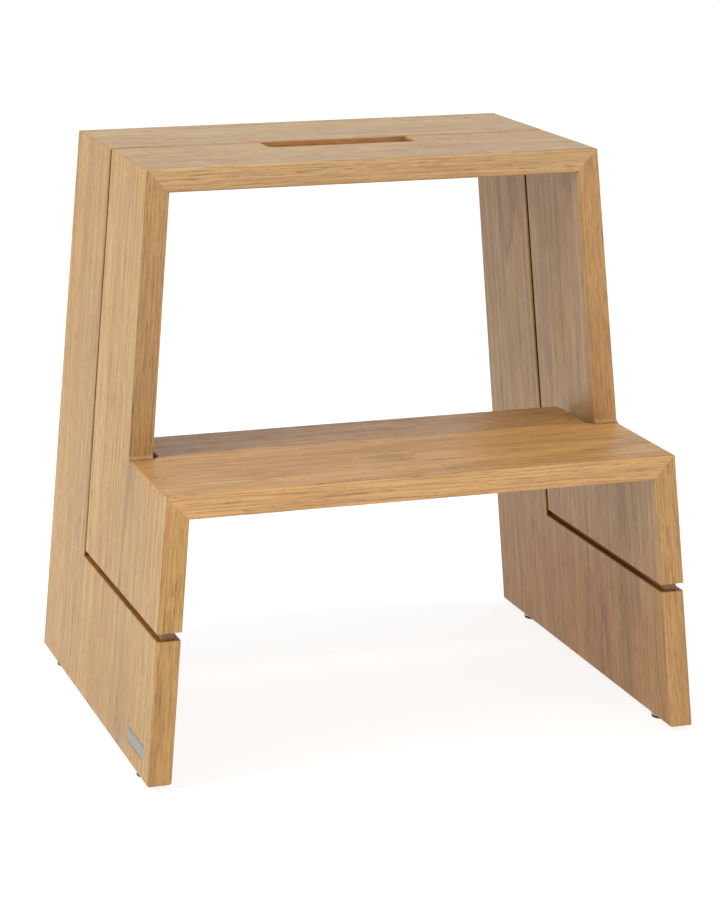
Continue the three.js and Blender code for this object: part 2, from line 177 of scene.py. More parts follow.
def make_floor():
    """A plain pale floor that glows a little, so that it stays nearly white."""
    graph = Graph("floor_white")
    place = graph.add("TexCoord").outputs["Object"]
    grain = graph.noise(place, scale=3.0, detail=3.0)
    tone = graph.ramp(grain, [(0.0, (FLOOR_CLOUD,) * 3), (1.0, WHITE)])
    shader = graph.principled({
        "Base Color": graph.mix(1.0, tone, (FLOOR_ALBEDO,) * 3, "MULTIPLY"),
        "Roughness": 0.9,
        "Specular IOR Level": 0.1,
        "Emission Color": WHITE,
        "Emission Strength": FLOOR_GLOW,
    })
    graph.finish(shader)
    mesh = bpy.data.meshes.new("floor")
    corners = [(x * FLOOR_HALF, y * FLOOR_HALF, 0.0) for x, y in ((-1, -1), (1, -1), (1, 1), (-1, 1))]
    mesh.from_pydata(corners, [], [(0, 1, 2, 3)])
    floor = bpy.data.objects.new("floor", mesh)
    floor.data.materials.append(graph.material)
    bpy.context.scene.collection.objects.link(floor)


# ---------------------------------------------------------------------------------------------------------
# Node graphs
# ---------------------------------------------------------------------------------------------------------

NOISE_SPAN = (0.2, 0.8)       # the levels that a noise mostly lies between


class Graph:
    """A material, and short calls that add and join its nodes. A value may be a number, a colour or an
    output of another node."""

    def __init__(self, name):
        self.material = bpy.data.materials.new(name)
        self.material.use_nodes = True
        self.tree = self.material.node_tree
        self.tree.nodes.clear()

    def put(self, socket, value):
        if isinstance(value, bpy.types.NodeSocket):
            self.tree.links.new(value, socket)
        elif socket.type == "RGBA" and len(value) == 3:
            socket.default_value = (*value, 1.0)
        else:
            socket.default_value = value

    def add(self, kind, values=None, **settings):
        node = self.tree.nodes.new("ShaderNode" + kind)
        for key, value in settings.items():
            setattr(node, key, value)
        for socket, value in (values or {}).items():
            self.put(node.inputs[socket], value)
        return node

    def math(self, operation, a, b=0.0, c=0.0, clamp=False):
        return self.add("Math", {0: a, 1: b, 2: c}, operation=operation, use_clamp=clamp).outputs[0]

    def ramp(self, factor, stops, interpolation="LINEAR"):
        node = self.add("ValToRGB", {0: factor})
        ramp = node.color_ramp
        ramp.interpolation = interpolation
        while len(ramp.elements) < len(stops):
            ramp.elements.new(1.0)
        for element, (position, colour) in zip(ramp.elements, stops):
            element.position = position
            element.color = (*colour, 1.0) if len(colour) == 3 else colour
        return node.outputs[0]

    def level(self, factor, low, high, out_low=0.0, out_high=1.0, smooth=True):
        """factor between two levels, as a number between two others."""
        node = self.add("MapRange", {0: factor, 1: low, 2: high, 3: out_low, 4: out_high})
        node.interpolation_type = "SMOOTHSTEP" if smooth else "LINEAR"
        return node.outputs[0]

    def mix(self, factor, a, b, blend="MIX"):
        node = self.add("Mix", data_type="RGBA", blend_type=blend)
        self.put(node.inputs[0], factor)
        self.put(node.inputs[6], a)
        self.put(node.inputs[7], b)
        return node.outputs[2]

    def tinted(self, factor, colour, tint):
        """A colour, drawn by a factor towards the same colour times a tint."""
        return self.mix(factor, colour, self.mix(1.0, colour, tint, "MULTIPLY"))

    def noise(self, vector, scale=1.0, detail=2.0, roughness=0.5):
        values = {"Vector": vector, "Scale": scale, "Detail": detail, "Roughness": roughness}
        return self.add("TexNoise", values).outputs[0]

    def vector(self, x, y, z):
        return self.add("CombineXYZ", {0: x, 1: y, 2: z}).outputs[0]

    def split(self, vector):
        """A vector's three parts by letter."""
        return dict(zip("xyz", self.add("SeparateXYZ", {0: vector}).outputs))

    def stretched(self, parts, scales):
        """A vector of three parts, each times its own scale."""
        return self.vector(*(self.math("MULTIPLY", part, scale) for part, scale in zip(parts, scales)))

    def scaled(self, vector, factors):
        return self.add("VectorMath", {0: vector, 1: factors}, operation="MULTIPLY").outputs[0]

    def bump(self, height, strength, distance):
        values = {"Height": height, "Strength": strength, "Distance": distance}
        return self.add("Bump", values).outputs[0]

    def principled(self, values):
        return self.add("BsdfPrincipled", values).outputs[0]

    def finish(self, shader):
        self.add("OutputMaterial", {"Surface": shader})


# ---------------------------------------------------------------------------------------------------------
# Oak: a solid texture of growth rings about a pith, one stave of the glued board at a time
# ---------------------------------------------------------------------------------------------------------

# The gap mark picks the faces in the shadow gap, which are darkened as painted shade
ARRIS_MARK = "arris"         # mesh attributes that the boards carry and the oak reads
GAP_SHADE_MARK = "gap"

# The glued staves
LAST_STAVE = 0.1             # room for the last stave in the table
GLUE_LINE_SCALE = 3.0        # how fast a glue line wanders along the grain
GLUE_LINE_WANDER = 0.0016
STAVE_SHIFT = 7.3            # the most that a stave's texture is shifted along the grain
PITH_REACH = 0.15            # how far beyond the board's sides a pith may lie
PITH_DEPTH = (0.03, 0.11)    # how far under a stave its pith may lie

# Growth rings
RING = 3.2 * MM
TAPER = 0.012                # a ring's growth per metre of length
SWAY_SCALE = (3.2, 15.0, 1.0)
RIPPLE_SCALE = (11.0, 60.0, 1.0)
EARLYWOOD = ((0.0, 0.1), (0.08, 1.0), (0.34, 0.25), (1.0, 0.0))    # place in the ring, porousness
RING_TONES = (0.35, 1.0)     # the palest and the darkest ring

# Noise scales along the grain, across it and through the board, then the noise levels where marks start
# and are full
PORE_SCALE = (70.0, 1300.0, 1300.0)
PORE_LEVELS = (0.57, 0.68)
PORE_LEAST = 0.35            # the strength of the pores outside the earlywood, where they count as 1
FIBRE_SCALE = (13.0, 800.0, 800.0)
FIBRE_LEVELS = (0.47, 0.58)
RAY_SCALE = (300.0, 130.0, 700.0)
RAY_LEVELS = (0.66, 0.76)
STREAK_SCALE = (1.6, 150.0, 150.0)
STREAK_LEVELS = (0.48, 0.62)
CLOUD_SCALE = (2.6, 26.0, 20.0)
CLOUD_LEVELS = (0.3, 0.7)
# Patches along the arrises: smoother, as wear, and lighter in colour, as a painted highlight
WEAR_AND_HIGHLIGHT_SCALE = 55.0
WEAR_AND_HIGHLIGHT_LEVELS = (0.4, 0.65)
ARRIS_HIGHLIGHT_TINT = (1.16, 1.14, 1.1)
ARRIS_HIGHLIGHT_STRENGTH = 0.35
WEAR_AND_HIGHLIGHT_LEAST = 0.4             # how strong wear and the painted highlight are between an arris's patches, which count as 1

# How square a face must be to the across or the long axis to count as an edge or an end
MARK_FADE = (0.5, 0.95)
TINT_FADE = (0.55, 0.95)
BROAD_FADE = (0.3, 0.8)
# how far a face in the shadow gap counts as its floor rather than a wall, for the painted gap shade
GAP_SHADE_FADE = (0.4, 0.6)

# Painted shade near the floor: a board's broad faces take the look's low tint between these heights
LOW_SHADE_ZONE = (0.20, 0.09)      # heights between which a board takes its low-down tone
LOW_SHADE_DRIFT = 0.04             # how far the clouding moves them

# What the marks add to the roughness, the fibres first from low to high, and to the relief
FIBRE_ROUGHNESS = (-0.05, 0.07)
PORE_ROUGHNESS = 0.22
RAY_ROUGHNESS = -0.08
WORN_ROUGHNESS = -0.06
FIBRE_RELIEF = 0.5
EARLYWOOD_RELIEF = -0.25
PORE_RELIEF = -1.0
RELIEF_DEPTH = 0.12 * MM
OILED_OAK_IOR = 1.48


class OakGraph(Graph):
    """The nodes of oiled oak. Each step leaves its outputs as attributes for the next."""

    def __init__(self, name, look):
        super().__init__(name)
        self.look = look

    def lay_axes(self, grain, turn):
        """Places along, across and through the board, and how far a face is an end or an edge of it."""
        coordinates = self.add("TexCoord")
        self.place = coordinates.outputs["Object"]
        self.height = self.split(self.place)["z"]
        turned = self.add("Mapping", {"Vector": self.place, "Rotation": turn})
        axes = self.split(turned.outputs[0])
        self.along, self.across, self.through = (axes[letter] for letter in grain)
        normal = coordinates.outputs["Normal"]
        turned_normal = self.add("Mapping", {"Vector": normal, "Rotation": turn}, vector_type="VECTOR")
        facing = self.split(turned_normal.outputs[0])
        self.end_face = self.math("ABSOLUTE", facing[grain[0]])
        self.edge_face = self.math("ABSOLUTE", facing[grain[1]])
        self.broad_face = self.level(self.edge_face, *BROAD_FADE, 1.0, 0.0)

    def lay_staves(self, staves, seed):
        """The tint of the stave that a point is in, where its pith lies and its shift along the grain."""
        low = staves[0][0]
        span = staves[-1][0] + LAST_STAVE - low
        reach = span + 2 * PITH_REACH
        stretch = self.math("MULTIPLY", self.along, GLUE_LINE_SCALE)
        wander = self.noise(self.vector(stretch, 0.0, float(seed)), detail=1.0)
        line = self.math("MULTIPLY_ADD", wander, GLUE_LINE_WANDER, self.across)
        share = self.math("DIVIDE", self.math("SUBTRACT", line, low), span)
        rng = random.Random(seed)
        tints = []
        piths = []
        for edge, tint, pith_across, depth in staves:
            start = (edge - low) / span
            tints.append((start, tint))
            piths.append((start, ((pith_across - low + PITH_REACH) / reach, depth, rng.random())))
        self.tint = self.ramp(share, tints, "CONSTANT")
        pith = self.add("SeparateColor", {0: self.ramp(share, piths, "CONSTANT")})
        self.pith_across = self.math("MULTIPLY_ADD", pith.outputs[0], reach, low - PITH_REACH)
        self.pith_depth = self.level(pith.outputs[1], 0.0, 1.0, *PITH_DEPTH, smooth=False)
        self.shift = self.math("MULTIPLY", pith.outputs[2], STAVE_SHIFT)

    def grow_rings(self):
        """Growth rings round the pith. earlywood is high in the porous part of a ring."""
        self.far_along = self.math("ADD", self.along, self.shift)
        beside = self.math("SUBTRACT", self.across, self.pith_across)
        above = self.math("ADD", self.through, self.pith_depth)
        beside_squared = self.math("MULTIPLY", beside, beside)
        above_squared = self.math("MULTIPLY", above, above)
        radius = self.math("SQRT", self.math("ADD", beside_squared, above_squared))
        sway = self.stretched((self.far_along, self.across, self.through), SWAY_SCALE)
        sway = self.noise(sway, detail=2.0, roughness=0.45)
        ripple = self.stretched((self.far_along, self.across, self.shift), RIPPLE_SCALE)
        ripple = self.noise(ripple, detail=2.0)
        radius = self.math("MULTIPLY_ADD", sway, self.look["sway"], radius)
        radius = self.math("MULTIPLY_ADD", ripple, self.look["ripple"], radius)
        radius = self.math("MULTIPLY_ADD", self.along, TAPER, radius)
        rings = self.math("DIVIDE", radius, RING)
        stops = [(place, (tone,) * 3) for place, tone in EARLYWOOD]
        earlywood = self.ramp(self.math("FRACT", rings), stops)
        whole = self.math("FLOOR", rings)
        ring_tone = self.add("TexWhiteNoise", {"W": whole}, noise_dimensions="1D").outputs[0]
        ring_tone = self.level(ring_tone, 0.0, 1.0, *RING_TONES, smooth=False)
        self.earlywood = self.math("MULTIPLY", earlywood, ring_tone)
        self.beside = beside
        self.above = above
        self.radius = radius

    def grow_fibres(self):
        """Pores, fibres, rays, streaks and broad clouding."""
        place = (self.far_along, self.across, self.through)
        pores = self.noise(self.stretched(place, PORE_SCALE), detail=1.0, roughness=0.6)
        pores = self.level(pores, *PORE_LEVELS)
        share = self.math("MULTIPLY_ADD", self.earlywood, 1.0 - PORE_LEAST, PORE_LEAST)
        self.pores = self.math("MULTIPLY", pores, share)
        self.fibre = self.noise(self.stretched(place, FIBRE_SCALE), detail=3.0, roughness=0.7)
        self.fibre_lines = self.level(self.fibre, *FIBRE_LEVELS)
        arc = self.math("MULTIPLY", self.math("ARCTAN2", self.beside, self.above), self.radius)
        ribbon = self.stretched((self.far_along, self.radius, arc), RAY_SCALE)
        rays = self.level(self.noise(ribbon, detail=1.0), *RAY_LEVELS)
        self.rays = self.math("MULTIPLY", rays, self.broad_face)
        self.cloud = self.noise(self.stretched(place, CLOUD_SCALE), detail=2.0)
        band = self.stretched((self.far_along, self.beside, self.above), STREAK_SCALE)
        self.streaks = self.level(self.noise(band, detail=4.0, roughness=0.62), *STREAK_LEVELS)

    def grain_colour(self):
        """The oak's two tones with the marks of its grain laid over them, weaker on the edges."""
        look = self.look
        ring_strength = self.level(self.edge_face, *MARK_FADE, look["ring"], look["edge_ring"])
        calm = self.level(self.edge_face, *MARK_FADE, 1.0, look["edge_calm"])
        marks = (
            (self.earlywood, ring_strength, look["dark"]),
            (self.streaks, self.math("MULTIPLY", calm, look["streak"]), look["dark"]),
            (self.fibre_lines, self.math("MULTIPLY", calm, look["fibre"]), look["dark"]),
            (self.pores, look["pore"], look["pore_colour"]),
            (self.rays, look["ray"], look["ray_colour"]),
        )
        colour = self.mix(self.level(self.cloud, *CLOUD_LEVELS), look["light"], look["warm"])
        for mark, strength, mark_colour in marks:
            colour = self.mix(self.math("MULTIPLY", mark, strength), colour, mark_colour)
        return self.mix(1.0, colour, self.tint, "MULTIPLY")

    def toned(self, colour):
        """The colour with the tones of edges and ends, painted shade on low parts and in the shadow gaps,
        and a painted highlight on patches of the arrises.
        """
        look = self.look
        colour = self.tinted(self.level(self.edge_face, *TINT_FADE), colour, look["edge"])
        colour = self.tinted(self.level(self.end_face, *TINT_FADE), colour, look["end"])
        # painted shade near the floor: broad faces low down take the look's low tint
        low_shade = self.level(self.math("MULTIPLY_ADD", self.cloud, LOW_SHADE_DRIFT, self.height), *LOW_SHADE_ZONE)
        colour = self.tinted(self.math("MULTIPLY", low_shade, self.broad_face), colour, look["low"])
        # painted shade in the shadow gap: its walls and its floor are darkened by their own tints
        gap_shade_mask = self.add("Attribute", attribute_name=GAP_SHADE_MARK).outputs["Fac"]
        gap_shade_tint = self.mix(self.level(self.end_face, *GAP_SHADE_FADE), look["gap_wall"], look["gap_floor"])
        colour = self.tinted(gap_shade_mask, colour, gap_shade_tint)
        # painted highlight on patches of the arrises; the same patches make the arrises smoother as wear
        arris = self.add("Attribute", attribute_name=ARRIS_MARK).outputs["Fac"]
        patches = self.level(self.noise(self.place, scale=WEAR_AND_HIGHLIGHT_SCALE, detail=3.0), *WEAR_AND_HIGHLIGHT_LEVELS)
        share = self.math("MULTIPLY_ADD", patches, 1.0 - WEAR_AND_HIGHLIGHT_LEAST, WEAR_AND_HIGHLIGHT_LEAST)
        self.wear_and_highlight = self.math("MULTIPLY", arris, share)
        return self.tinted(self.math("MULTIPLY", self.wear_and_highlight, ARRIS_HIGHLIGHT_STRENGTH), colour, ARRIS_HIGHLIGHT_TINT)

    def surface(self, colour):
        """The shader: oiled wood, rougher in its pores and smoother on its rays and on patches of its
        arrises, as wear.
        """
        look = self.look
        least, most = (look["rough"] + change for change in FIBRE_ROUGHNESS)
        rough = self.level(self.fibre, *NOISE_SPAN, least, most, smooth=False)
        rough = self.math("MULTIPLY_ADD", self.pores, PORE_ROUGHNESS, rough)
        rough = self.math("MULTIPLY_ADD", self.rays, RAY_ROUGHNESS, rough)
        rough = self.math("MULTIPLY_ADD", self.wear_and_highlight, WORN_ROUGHNESS, rough, clamp=True)
        relief = self.math("MULTIPLY", self.fibre, FIBRE_RELIEF)
        relief = self.math("MULTIPLY_ADD", self.earlywood, EARLYWOOD_RELIEF, relief)
        relief = self.math("MULTIPLY_ADD", self.pores, PORE_RELIEF, relief)
        self.finish(self.principled({
            "Base Color": colour,
            "Roughness": rough,
            "Normal": self.bump(relief, look["bump"], RELIEF_DEPTH),
            "IOR": OILED_OAK_IOR,
        }))


def oak(name, grain, turn, staves, seed, look):
    """Oiled oak. grain names the axes along, across and through the board once turned. staves is a list of
    (edge across, tint, pith across, pith depth from 0 to 1)."""
    graph = OakGraph(name, look)
    graph.lay_axes(grain, turn)
    graph.lay_staves(staves, seed)
    graph.grow_rings()
    graph.grow_fibres()
    graph.surface(graph.toned(graph.grain_colour()))
    return graph.material


# What an oak looks like: colours, tints that multiply them, and the strengths of its marks
OAK_LOOK = {
    "light": (0.55, 0.350, 0.150),
    "warm": (0.50, 0.305, 0.127),
    "dark": (0.255, 0.120, 0.044),
    "pore_colour": (0.13, 0.056, 0.020),
    "ray_colour": (0.62, 0.43, 0.22),
    "edge": (1.06, 0.94, 0.85),
    "end": (0.70, 0.60, 0.50),
    # painted shade for the walls and the floor of the shadow gap
    "gap_wall": (0.50, 0.38, 0.28),
    "gap_floor": (0.50, 0.38, 0.28),
    # painted shade near the floor: the tint that broad faces take low down
    "low": (1.0, 1.0, 1.0),
    "ring": 0.60,
    "edge_ring": 0.40,
    "edge_calm": 0.72,
    "streak": 0.28,
    "fibre": 0.66,
    "pore": 0.80,
    "ray": 0.16,
    "sway": 0.010,
    "ripple": 0.0016,
    "rough": 0.46,
    "bump": 0.35,
}


def look_with(**changes):
    return {**OAK_LOOK, **changes}


# Tints that multiply a stave's colour
PALE = (1.05, 1.07, 0.97)
PLAIN = (1.0, 1.0, 1.0)
PINK = (1.0, 0.955, 0.91)
GREY = (0.92, 0.94, 0.98)
BUFF = (1.03, 1.01, 0.94)
# Painted light: a paler, greyer tint that stands in for the grey sheen reflected in the shade under the top
# tread
SHADE_SHEEN = (1.14, 1.21, 1.48)

# The staves of each board from its front edge to its rear: width in millimetres, tint, and where the pith
# lies, first across (between 0 and 1 it is under the stave, which gives arched grain) and then in depth
LEFT_STAVES = (
    (36, PALE, 1.9, 0.6),
    (36, BUFF, -1.0, 0.5),
    (54, GREY, 0.5, 0.2),
    (31, PALE, 2.4, 0.5),
    (46, PINK, -0.9, 0.6),
    (38, PALE, 2.0, 0.4),
    (60, PLAIN, -0.7, 0.3),
    (70, BUFF, 1.6, 0.2),
)
RIGHT_STAVES = (
    (44, PLAIN, 1.8, 0.5),
    (62, GREY, 0.5, 0.5),
    (58, PLAIN, 0.4, 0.1),
    (48, BUFF, -0.9, 0.5),
    (48, PLAIN, 1.9, 0.4),
    (52, PINK, 0.5, 0.3),
    (60, PLAIN, -0.6, 0.5),
)
TOP_STAVES = (
    (52, PLAIN, 1.7, 0.5),
    (66, BUFF, 0.5, 0.4),
    (58, PLAIN, -0.6, 0.6),
    (60, PALE, 1.6, 0.5),
)
STEP_STAVES = (
    (70, PLAIN, 0.6, 0.3),
    (50, BUFF, -0.6, 0.6),
    # the rear stave, in the top tread's shade, takes the painted sheen
    (60, SHADE_SHEEN, 1.5, 0.5),
)


def laid_out(staves, front):
    """A board's staves as oak() takes them, set out from its front edge."""
    placed = []
    edge = front
    for width, tint, pith, depth in staves:
        placed.append((edge, tint, edge + pith * width * MM, depth))
        edge += width * MM
    return placed


LEFT_LOOK = look_with(
    light=(0.51, 0.306, 0.096),
    warm=(0.465, 0.268, 0.081),
    edge=(1.10, 1.03, 1.12),
    # painted shade in the shadow gap: dark walls, and a lighter, warmer floor where light falls in from
    # above
    gap_wall=(0.24, 0.16, 0.10),
    gap_floor=(1.0, 0.76, 0.56),
    ring=0.70,
    streak=0.36,
)
RIGHT_LOOK = look_with(
    light=(0.483, 0.308, 0.126),
    warm=(0.443, 0.266, 0.105),
    dark=(0.26, 0.132, 0.044),
    edge=(1.15, 1.02, 0.87),
    # painted shade near the floor: low on the boards, the broad faces are darker and warmer
    low=(0.86, 0.67, 0.32),
    # painted shade in the shadow gap: dark walls, and a warmer, lighter floor where light falls in
    gap_wall=(0.24, 0.15, 0.08),
    gap_floor=(0.95, 0.57, 0.27),
    ring=0.70,
    streak=0.34,
)
TOP_LOOK = look_with(
    light=(0.45, 0.300, 0.130),
    warm=(0.41, 0.260, 0.111),
    edge=(1.36, 1.30, 1.30),
    # painted shade on the walls of the gap between the two treads
    gap_wall=(0.80, 0.60, 0.42),
    ring=0.45,
    streak=0.22,
)
STEP_LOOK = look_with(
    light=(0.543, 0.300, 0.092),
    warm=(0.493, 0.259, 0.074),
    edge=(1.31, 1.36, 1.70),
    ring=0.50,
    streak=0.22,
)
TONGUE_LOOK = look_with(light=(0.44, 0.27, 0.12), warm=(0.38, 0.22, 0.095))
NO_TURN = (0.0, 0.0, 0.0)


def make_oaks():
    """The oak of the left side, the right side, the top tread and the step, by those words."""
    oaks = {}
    sides = (("left", LEFT_STAVES, 10, LEFT_LOOK), ("right", RIGHT_STAVES, 12, RIGHT_LOOK))
    for word, staves, seed, look in sides:
        turn = (0.0, SIDES[word] * SPLAY, 0.0)
        oaks[word] = oak(f"oak_{word}_side", "zyx", turn, laid_out(staves, rear_panel_low.y), seed, look)
    oaks["top"] = oak("oak_top", "xyz", NO_TURN, laid_out(TOP_STAVES, top_front_low.y), 21, TOP_LOOK)
    oaks["step"] = oak("oak_step", "xyz", NO_TURN, laid_out(STEP_STAVES, step_low.y), 31, STEP_LOOK)
    return oaks


# ---------------------------------------------------------------------------------------------------------
# Boards: the CAD board's faces, with rounded arrises and eased mitre corners
# ---------------------------------------------------------------------------------------------------------

ARRIS_RADIUS = 2.2 * MM
GAP_ARRIS_SHARE = 0.52        # radius along the shadow gap, as a share of the others
ARRIS_SEGMENTS = 5
CORNER_RADIUS = 1.6 * MM      # along the mitre corners
CORNER_REACH = 2 * CORNER_RADIUS
CORNER_STEPS = 4
CORNER_STOP = 3 * MM          # where a corner's round runs out, before the mitre's end
MERGE = 0.005 * MM            # points nearer than this are one
TOUCH = 0.06 * MM             # a point nearer than this to a plane lies in it
FLAT_ANGLE = math.radians(0.6)       # faces that meet at less than this are one
ARRIS_ANGLE = math.radians(28.0)     # an edge that turns by more is an arris
SHARP_ANGLE = math.radians(31.0)     # an edge that turns by more is drawn sharp
MITRE_CLOSE = 0.16 * MM       # how far each mitre face is drawn up to its neighbour
MITRE_TILT = 0.5              # a mitre face's normal has more than this along x and along z
CROSS_FACE = 0.99             # a face across the board's edges has more than this along y
NORMAL_WEIGHT = 50


def new_object(name, mesh):
    piece = bpy.data.objects.new(name, mesh)
    bpy.context.scene.collection.objects.link(piece)
    return piece


def dress(mesh, material):
    mesh.materials.clear()
    mesh.materials.append(material)


def take_over(piece, node, slot):
    """Lets a finer piece stand for a CAD node, its shading led by its larger faces."""
    modifier = piece.modifiers.new("normals", "WEIGHTED_NORMAL")
    modifier.keep_sharp = True
    modifier.weight = NORMAL_WEIGHT
    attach(piece, "root")
    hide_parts(node)


def baked(piece, modifier):
    """The mesh that a piece's one modifier makes, with the modifier gone."""
    depsgraph = bpy.context.evaluated_depsgraph_get()
    result = bpy.data.meshes.new_from_object(piece.evaluated_get(depsgraph))
    piece.modifiers.remove(modifier)
    return result


def written(bm, name):
    """A mesh from a bmesh, smooth but for the edges where flat faces meet."""
    for face in bm.faces:
        face.smooth = True
    for edge in bm.edges:
        edge.smooth = len(edge.link_faces) == 2 and edge.calc_face_angle(0.0) < SHARP_ANGLE
    mesh = bpy.data.meshes.new(name)
    bm.to_mesh(mesh)
    bm.free()
    return mesh


def broad_planes(bm):
    """The two largest flat faces of a board, as (normal, distance) pairs."""
    areas = {}
    for face in bm.faces:
        normal = face.normal
        distance = normal.dot(face.verts[0].co)
        key = (*(round(c, 2) for c in normal), round(distance, 4))
        total, _, _ = areas.get(key, (0.0, None, None))
        areas[key] = (total + face.calc_area(), normal.copy(), distance)
    largest = sorted(areas.values(), key=lambda entry: -entry[0])[:2]
    return [(normal, distance) for _, normal, distance in largest]


def is_mitre(face):
    return abs(face.normal.x) > MITRE_TILT and abs(face.normal.z) > MITRE_TILT


def close_mitres(bm, tread):
    """Draws a board's mitre faces up to their neighbours', sliding them along the board's grain."""
    for side in SIDES.values():
        up_panel = Vector((-side * math.sin(SPLAY), 0.0, math.cos(SPLAY)))
        grain = Vector((side, 0.0, 0.0)) if tread else up_panel
        slides = {}
        for face in bm.faces:
            at_side = face.calc_center_median().x * side > 0
            if at_side and is_mitre(face) and face.normal.x * face.normal.z * side < 0:
                for vertex in face.verts:
                    slides[vertex] = MITRE_CLOSE / face.normal.dot(grain)
        for vertex, slide in slides.items():
            vertex.co += grain * slide


def on_gap(point):
    """Whether a point lies on a wall of the shadow gap."""
    return (min(abs(point.y - GAP_FRONT_Y), abs(point.y - GAP_REAR_Y)) < TOUCH
            or min(abs(point.z - GAP_HIGH_Z), abs(point.z - GAP_LOW_Z)) < TOUCH)


def arris_weight(edge, planes):
    """How much an edge is rounded: 0 for one inside a groove or on a mitre, 1 for a full arris."""
    if len(edge.link_faces) != 2 or any(is_mitre(face) for face in edge.link_faces):
        return 0.0
    if edge.calc_face_angle_signed() < ARRIS_ANGLE:
        return 0.0
    ends = [vertex.co for vertex in edge.verts]
    if not all(any(abs(normal.dot(p) - d) < TOUCH for normal, d in planes) for p in ends):
        return 0.0
    return GAP_ARRIS_SHARE if all(on_gap(p) for p in ends) else 1.0


def clean_board(node, mirrored):
    """A CAD board's mesh with whole flat faces and its mitres closed."""
    bm = bmesh.new()
    bm.from_mesh(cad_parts[node].data)
    if mirrored:
        bmesh.ops.scale(bm, vec=(-1.0, 1.0, 1.0), verts=bm.verts)
        bmesh.ops.reverse_faces(bm, faces=bm.faces)
    bmesh.ops.remove_doubles(bm, verts=bm.verts, dist=MERGE)
    bmesh.ops.dissolve_limit(bm, angle_limit=FLAT_ANGLE, verts=bm.verts, edges=bm.edges)
    bm.normal_update()
    close_mitres(bm, tread=node in TREADS)
    bm.normal_update()
    return bm


def rounded(bm, name):
    """Rounds the arrises with a weighted bevel, and marks the rounded faces with material 1."""
    planes = broad_planes(bm)
    weight = bm.edges.layers.float.new("bevel_weight_edge")
    for edge in bm.edges:
        edge[weight] = arris_weight(edge, planes)
    mesh = bpy.data.meshes.new(name)
    bm.to_mesh(mesh)
    bm.free()
    blank = new_object(name, mesh)
    for _ in range(2):
        mesh.materials.append(None)
    bevel = blank.modifiers.new("round", "BEVEL")
    bevel.limit_method = "WEIGHT"
    bevel.width = ARRIS_RADIUS
    bevel.segments = ARRIS_SEGMENTS
    bevel.use_clamp_overlap = True
    bevel.material = 1
    bevel.miter_outer = "MITER_SHARP"
    result = baked(blank, bevel)
    bpy.data.objects.remove(blank)
    bpy.data.meshes.remove(mesh)
    out = bmesh.new()
    out.from_mesh(result)
    bpy.data.meshes.remove(result)
    return out


def ease_corner(bm, side, half, level_z):
    """Rounds the corner where a tread meets a side panel, from front to back as far as the mitre goes."""
    side_normal = Vector((side * math.cos(SPLAY), 0.0, math.sin(SPLAY)))
    top_normal = Vector((0.0, 0.0, 1.0))
    corner = Vector((side * half, 0.0, level_z))
    bisector = (side_normal + top_normal).normalized()
    centre = corner - bisector * (CORNER_RADIUS / bisector.dot(top_normal))

    def from_centre(point):
        return Vector((point.x - centre.x, 0.0, point.z - centre.z))

    def near(vertex):
        return from_centre(vertex.co).length < CORNER_REACH

    end_y = max(v.co.y for f in bm.faces if is_mitre(f) for v in f.verts if near(v))
    goes_on = any(
        not is_mitre(f) and max(v.co.y for v in f.verts) > end_y + CORNER_STOP for f in bm.faces)
    round_y = end_y - CORNER_STOP if goes_on else end_y
    if goes_on:
        for cut_y in (end_y, round_y):
            everything = [*bm.verts, *bm.edges, *bm.faces]
            point = (0, cut_y, 0)
            bmesh.ops.bisect_plane(bm, geom=everything, dist=MERGE, plane_co=point, plane_no=(0, 1, 0))

    swing = side_normal.angle(top_normal)
    for i in range(2 * CORNER_STEPS + 1):
        if i == CORNER_STEPS:       # the mitre already has an edge here
            continue
        spoke = Matrix.Rotation(side * swing * i / (2 * CORNER_STEPS), 3, "Y") @ top_normal
        across = Vector((spoke.z, 0.0, -spoke.x))
        faces = [
            f for f in bm.faces
            if not is_mitre(f) and abs(f.normal.y) < CROSS_FACE and f.calc_center_median().y < end_y
            and any(near(v) for v in f.verts)
        ]
        geometry = set(faces)
        for f in faces:
            geometry.update(f.edges)
            geometry.update(f.verts)
        bmesh.ops.bisect_plane(bm, geom=list(geometry), dist=MERGE, plane_co=centre, plane_no=across)
    for vertex in bm.verts:
        offset = from_centre(vertex.co)
        beyond = CORNER_RADIUS < offset.length < CORNER_REACH
        towards = offset.x * side > -MERGE and offset.z > -MERGE and offset.dot(side_normal) > 0
        if beyond and towards and vertex.co.y < round_y + MERGE:
            spot = offset.normalized() * CORNER_RADIUS
            vertex.co.x = centre.x + spot.x
            vertex.co.z = centre.z + spot.z


def board_mesh(bm, name):
    """Writes a board's mesh, with its marks and no point above the top tread."""
    bmesh.ops.remove_doubles(bm, verts=bm.verts, dist=MERGE)
    for vertex in bm.verts:
        vertex.co.z = min(vertex.co.z, TOP_LEVEL)
    on_arris = bm.verts.layers.float.new(ARRIS_MARK)
    # faces that lie wholly on the gap's walls are marked for painted shade
    gap_shade_mask = bm.faces.layers.float.new(GAP_SHADE_MARK)
    for face in bm.faces:
        if face.material_index == 1:
            for vertex in face.verts:
                vertex[on_arris] = 1.0
        elif all(on_gap(vertex.co) for vertex in face.verts):
            face[gap_shade_mask] = 1.0
        face.material_index = 0
    return written(bm, name)


def cut(piece, cutter):
    """Takes the cutter's shape out of a piece, for good."""
    modifier = piece.modifiers.new("cut", "BOOLEAN")
    modifier.operation = "DIFFERENCE"
    modifier.solver = "EXACT"
    modifier.object = cutter
    old = piece.data
    piece.data = baked(piece, modifier)
    name = old.name
    bpy.data.meshes.remove(old)
    piece.data.name = name
    bpy.data.objects.remove(cutter)


